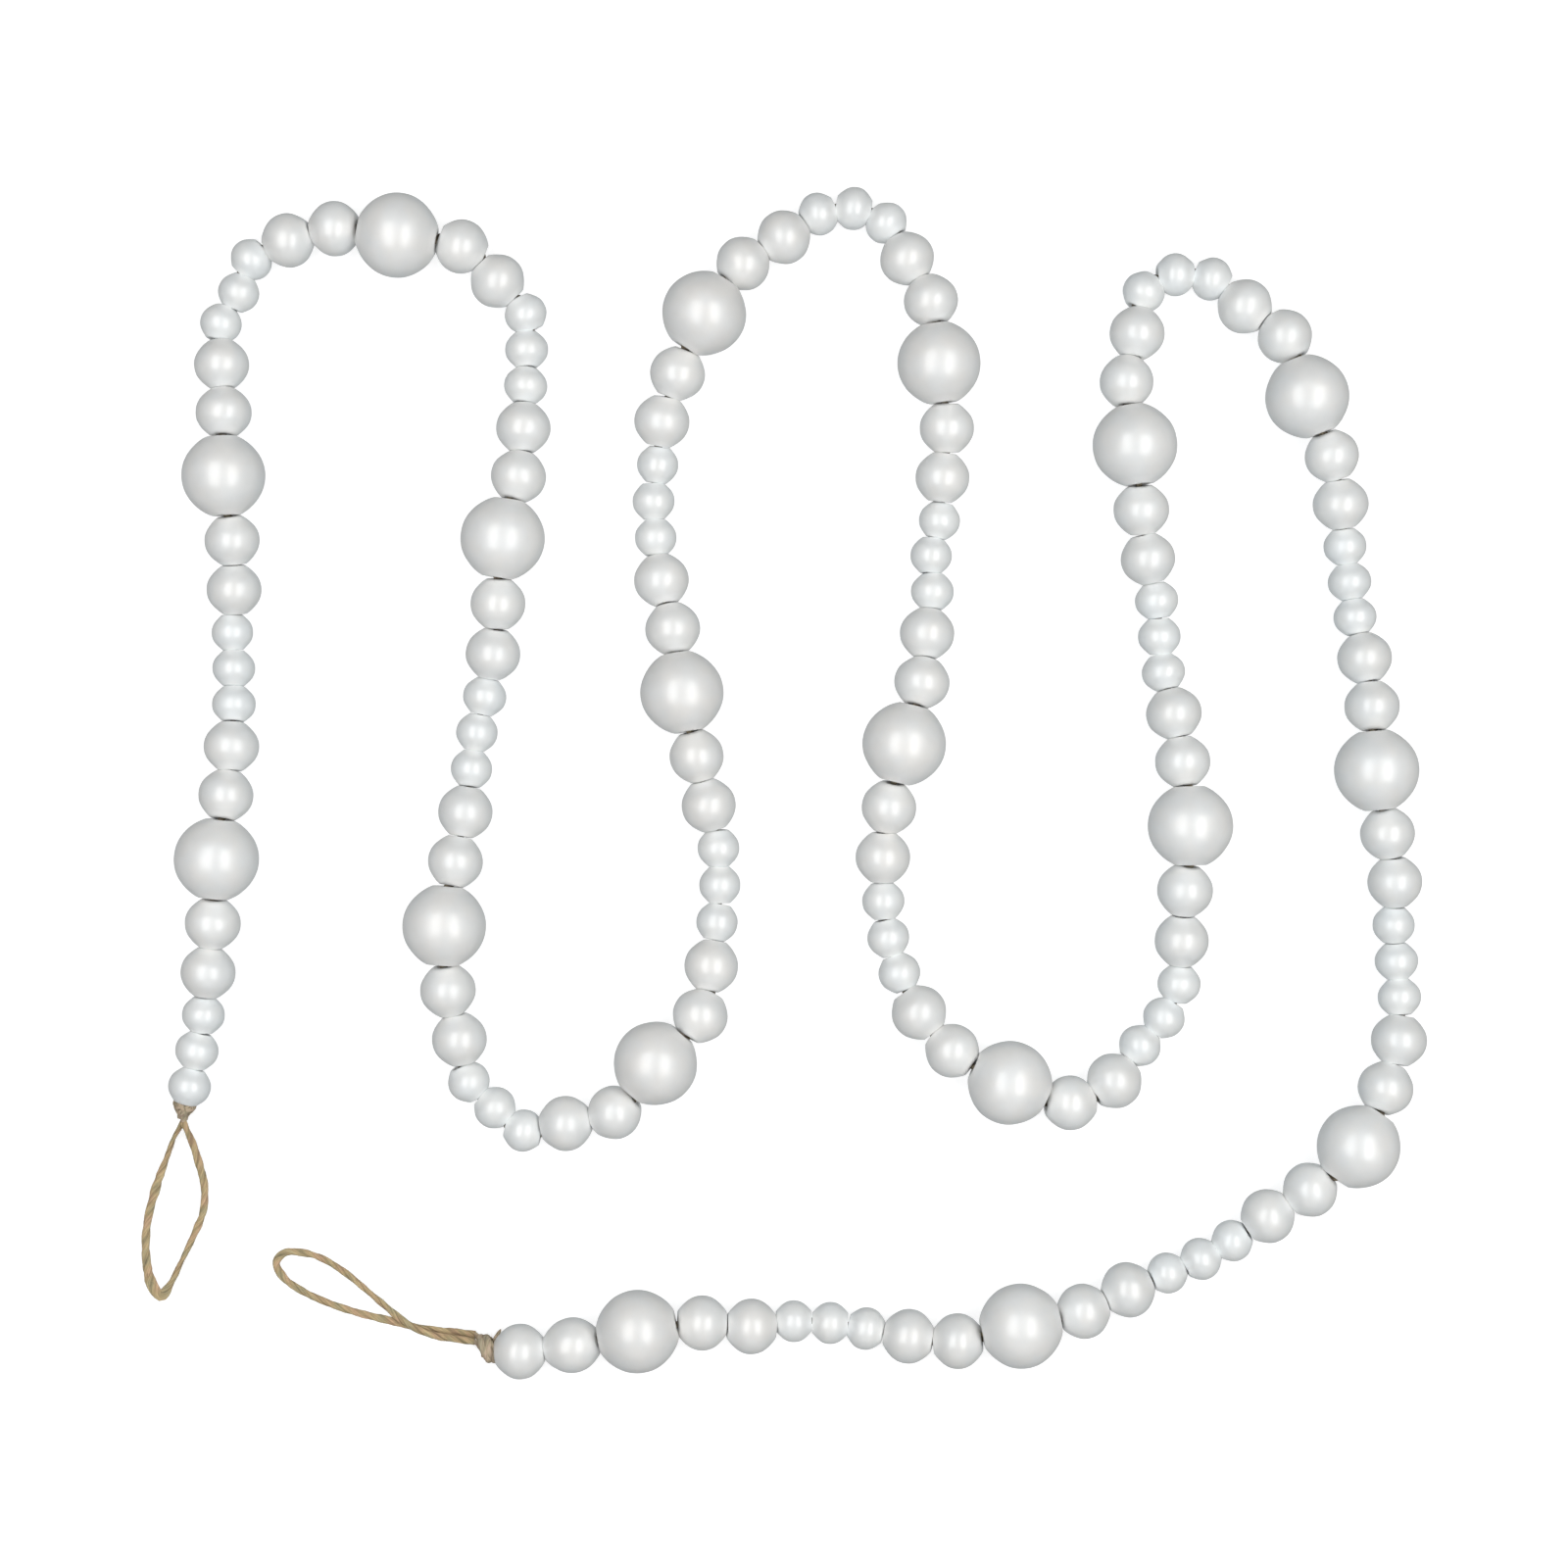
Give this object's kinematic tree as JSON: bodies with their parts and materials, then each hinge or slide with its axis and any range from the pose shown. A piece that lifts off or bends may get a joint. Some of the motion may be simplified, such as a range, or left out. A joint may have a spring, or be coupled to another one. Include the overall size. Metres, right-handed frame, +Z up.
{
  "type": "wood bead garland",
  "caption": "Garland of white painted wooden beads in graduated sizes, threaded on jute twine with a hanging loop at each end and laid out in a serpentine.",
  "frame": {"origin": "on the floor, under the middle of the beads' bounding box, without the twine loops", "axes": "+X to the right of the layout and along its longest side, +Y towards the upper bends, +Z up; the first bead is at the lower left"},
  "size_m": [0.4657, 0.4311, 0.03],
  "materials": {
    "white_bead_paint": "satin pearly white paint on turned wood",
    "jute_twine": "two-ply tan jute twine with loose fibres"
  },
  "bodies": {
    "root": {"large_bead_01": "white_bead_paint", "large_bead_02": "white_bead_paint", "large_bead_03": "white_bead_paint", "large_bead_04": "white_bead_paint", "large_bead_05": "white_bead_paint", "large_bead_06": "white_bead_paint", "large_bead_07": "white_bead_paint", "large_bead_08": "white_bead_paint", "large_bead_09": "white_bead_paint", "large_bead_10": "white_bead_paint", "large_bead_11": "white_bead_paint", "large_bead_12": "white_bead_paint", "large_bead_13": "white_bead_paint", "large_bead_14": "white_bead_paint", "large_bead_15": "white_bead_paint", "large_bead_16": "white_bead_paint", "large_bead_17": "white_bead_paint", "large_bead_18": "white_bead_paint", "bead_run_00": "white_bead_paint", "bead_run_01": "white_bead_paint", "bead_run_02": "white_bead_paint", "bead_run_03": "white_bead_paint", "bead_run_04": "white_bead_paint", "bead_run_05": "white_bead_paint", "bead_run_06": "white_bead_paint", "bead_run_07": "white_bead_paint", "bead_run_08": "white_bead_paint", "bead_run_09": "white_bead_paint", "bead_run_10": "white_bead_paint", "bead_run_11": "white_bead_paint", "bead_run_12": "white_bead_paint", "bead_run_13": "white_bead_paint", "bead_run_14": "white_bead_paint", "bead_run_15": "white_bead_paint", "bead_run_16": "white_bead_paint", "bead_run_17": "white_bead_paint", "bead_run_18": "white_bead_paint", "knot_start": "jute_twine", "knot_end": "jute_twine", "twine_loop_start": "jute_twine", "twine_loop_end": "jute_twine"}
  },
  "joints": []
}
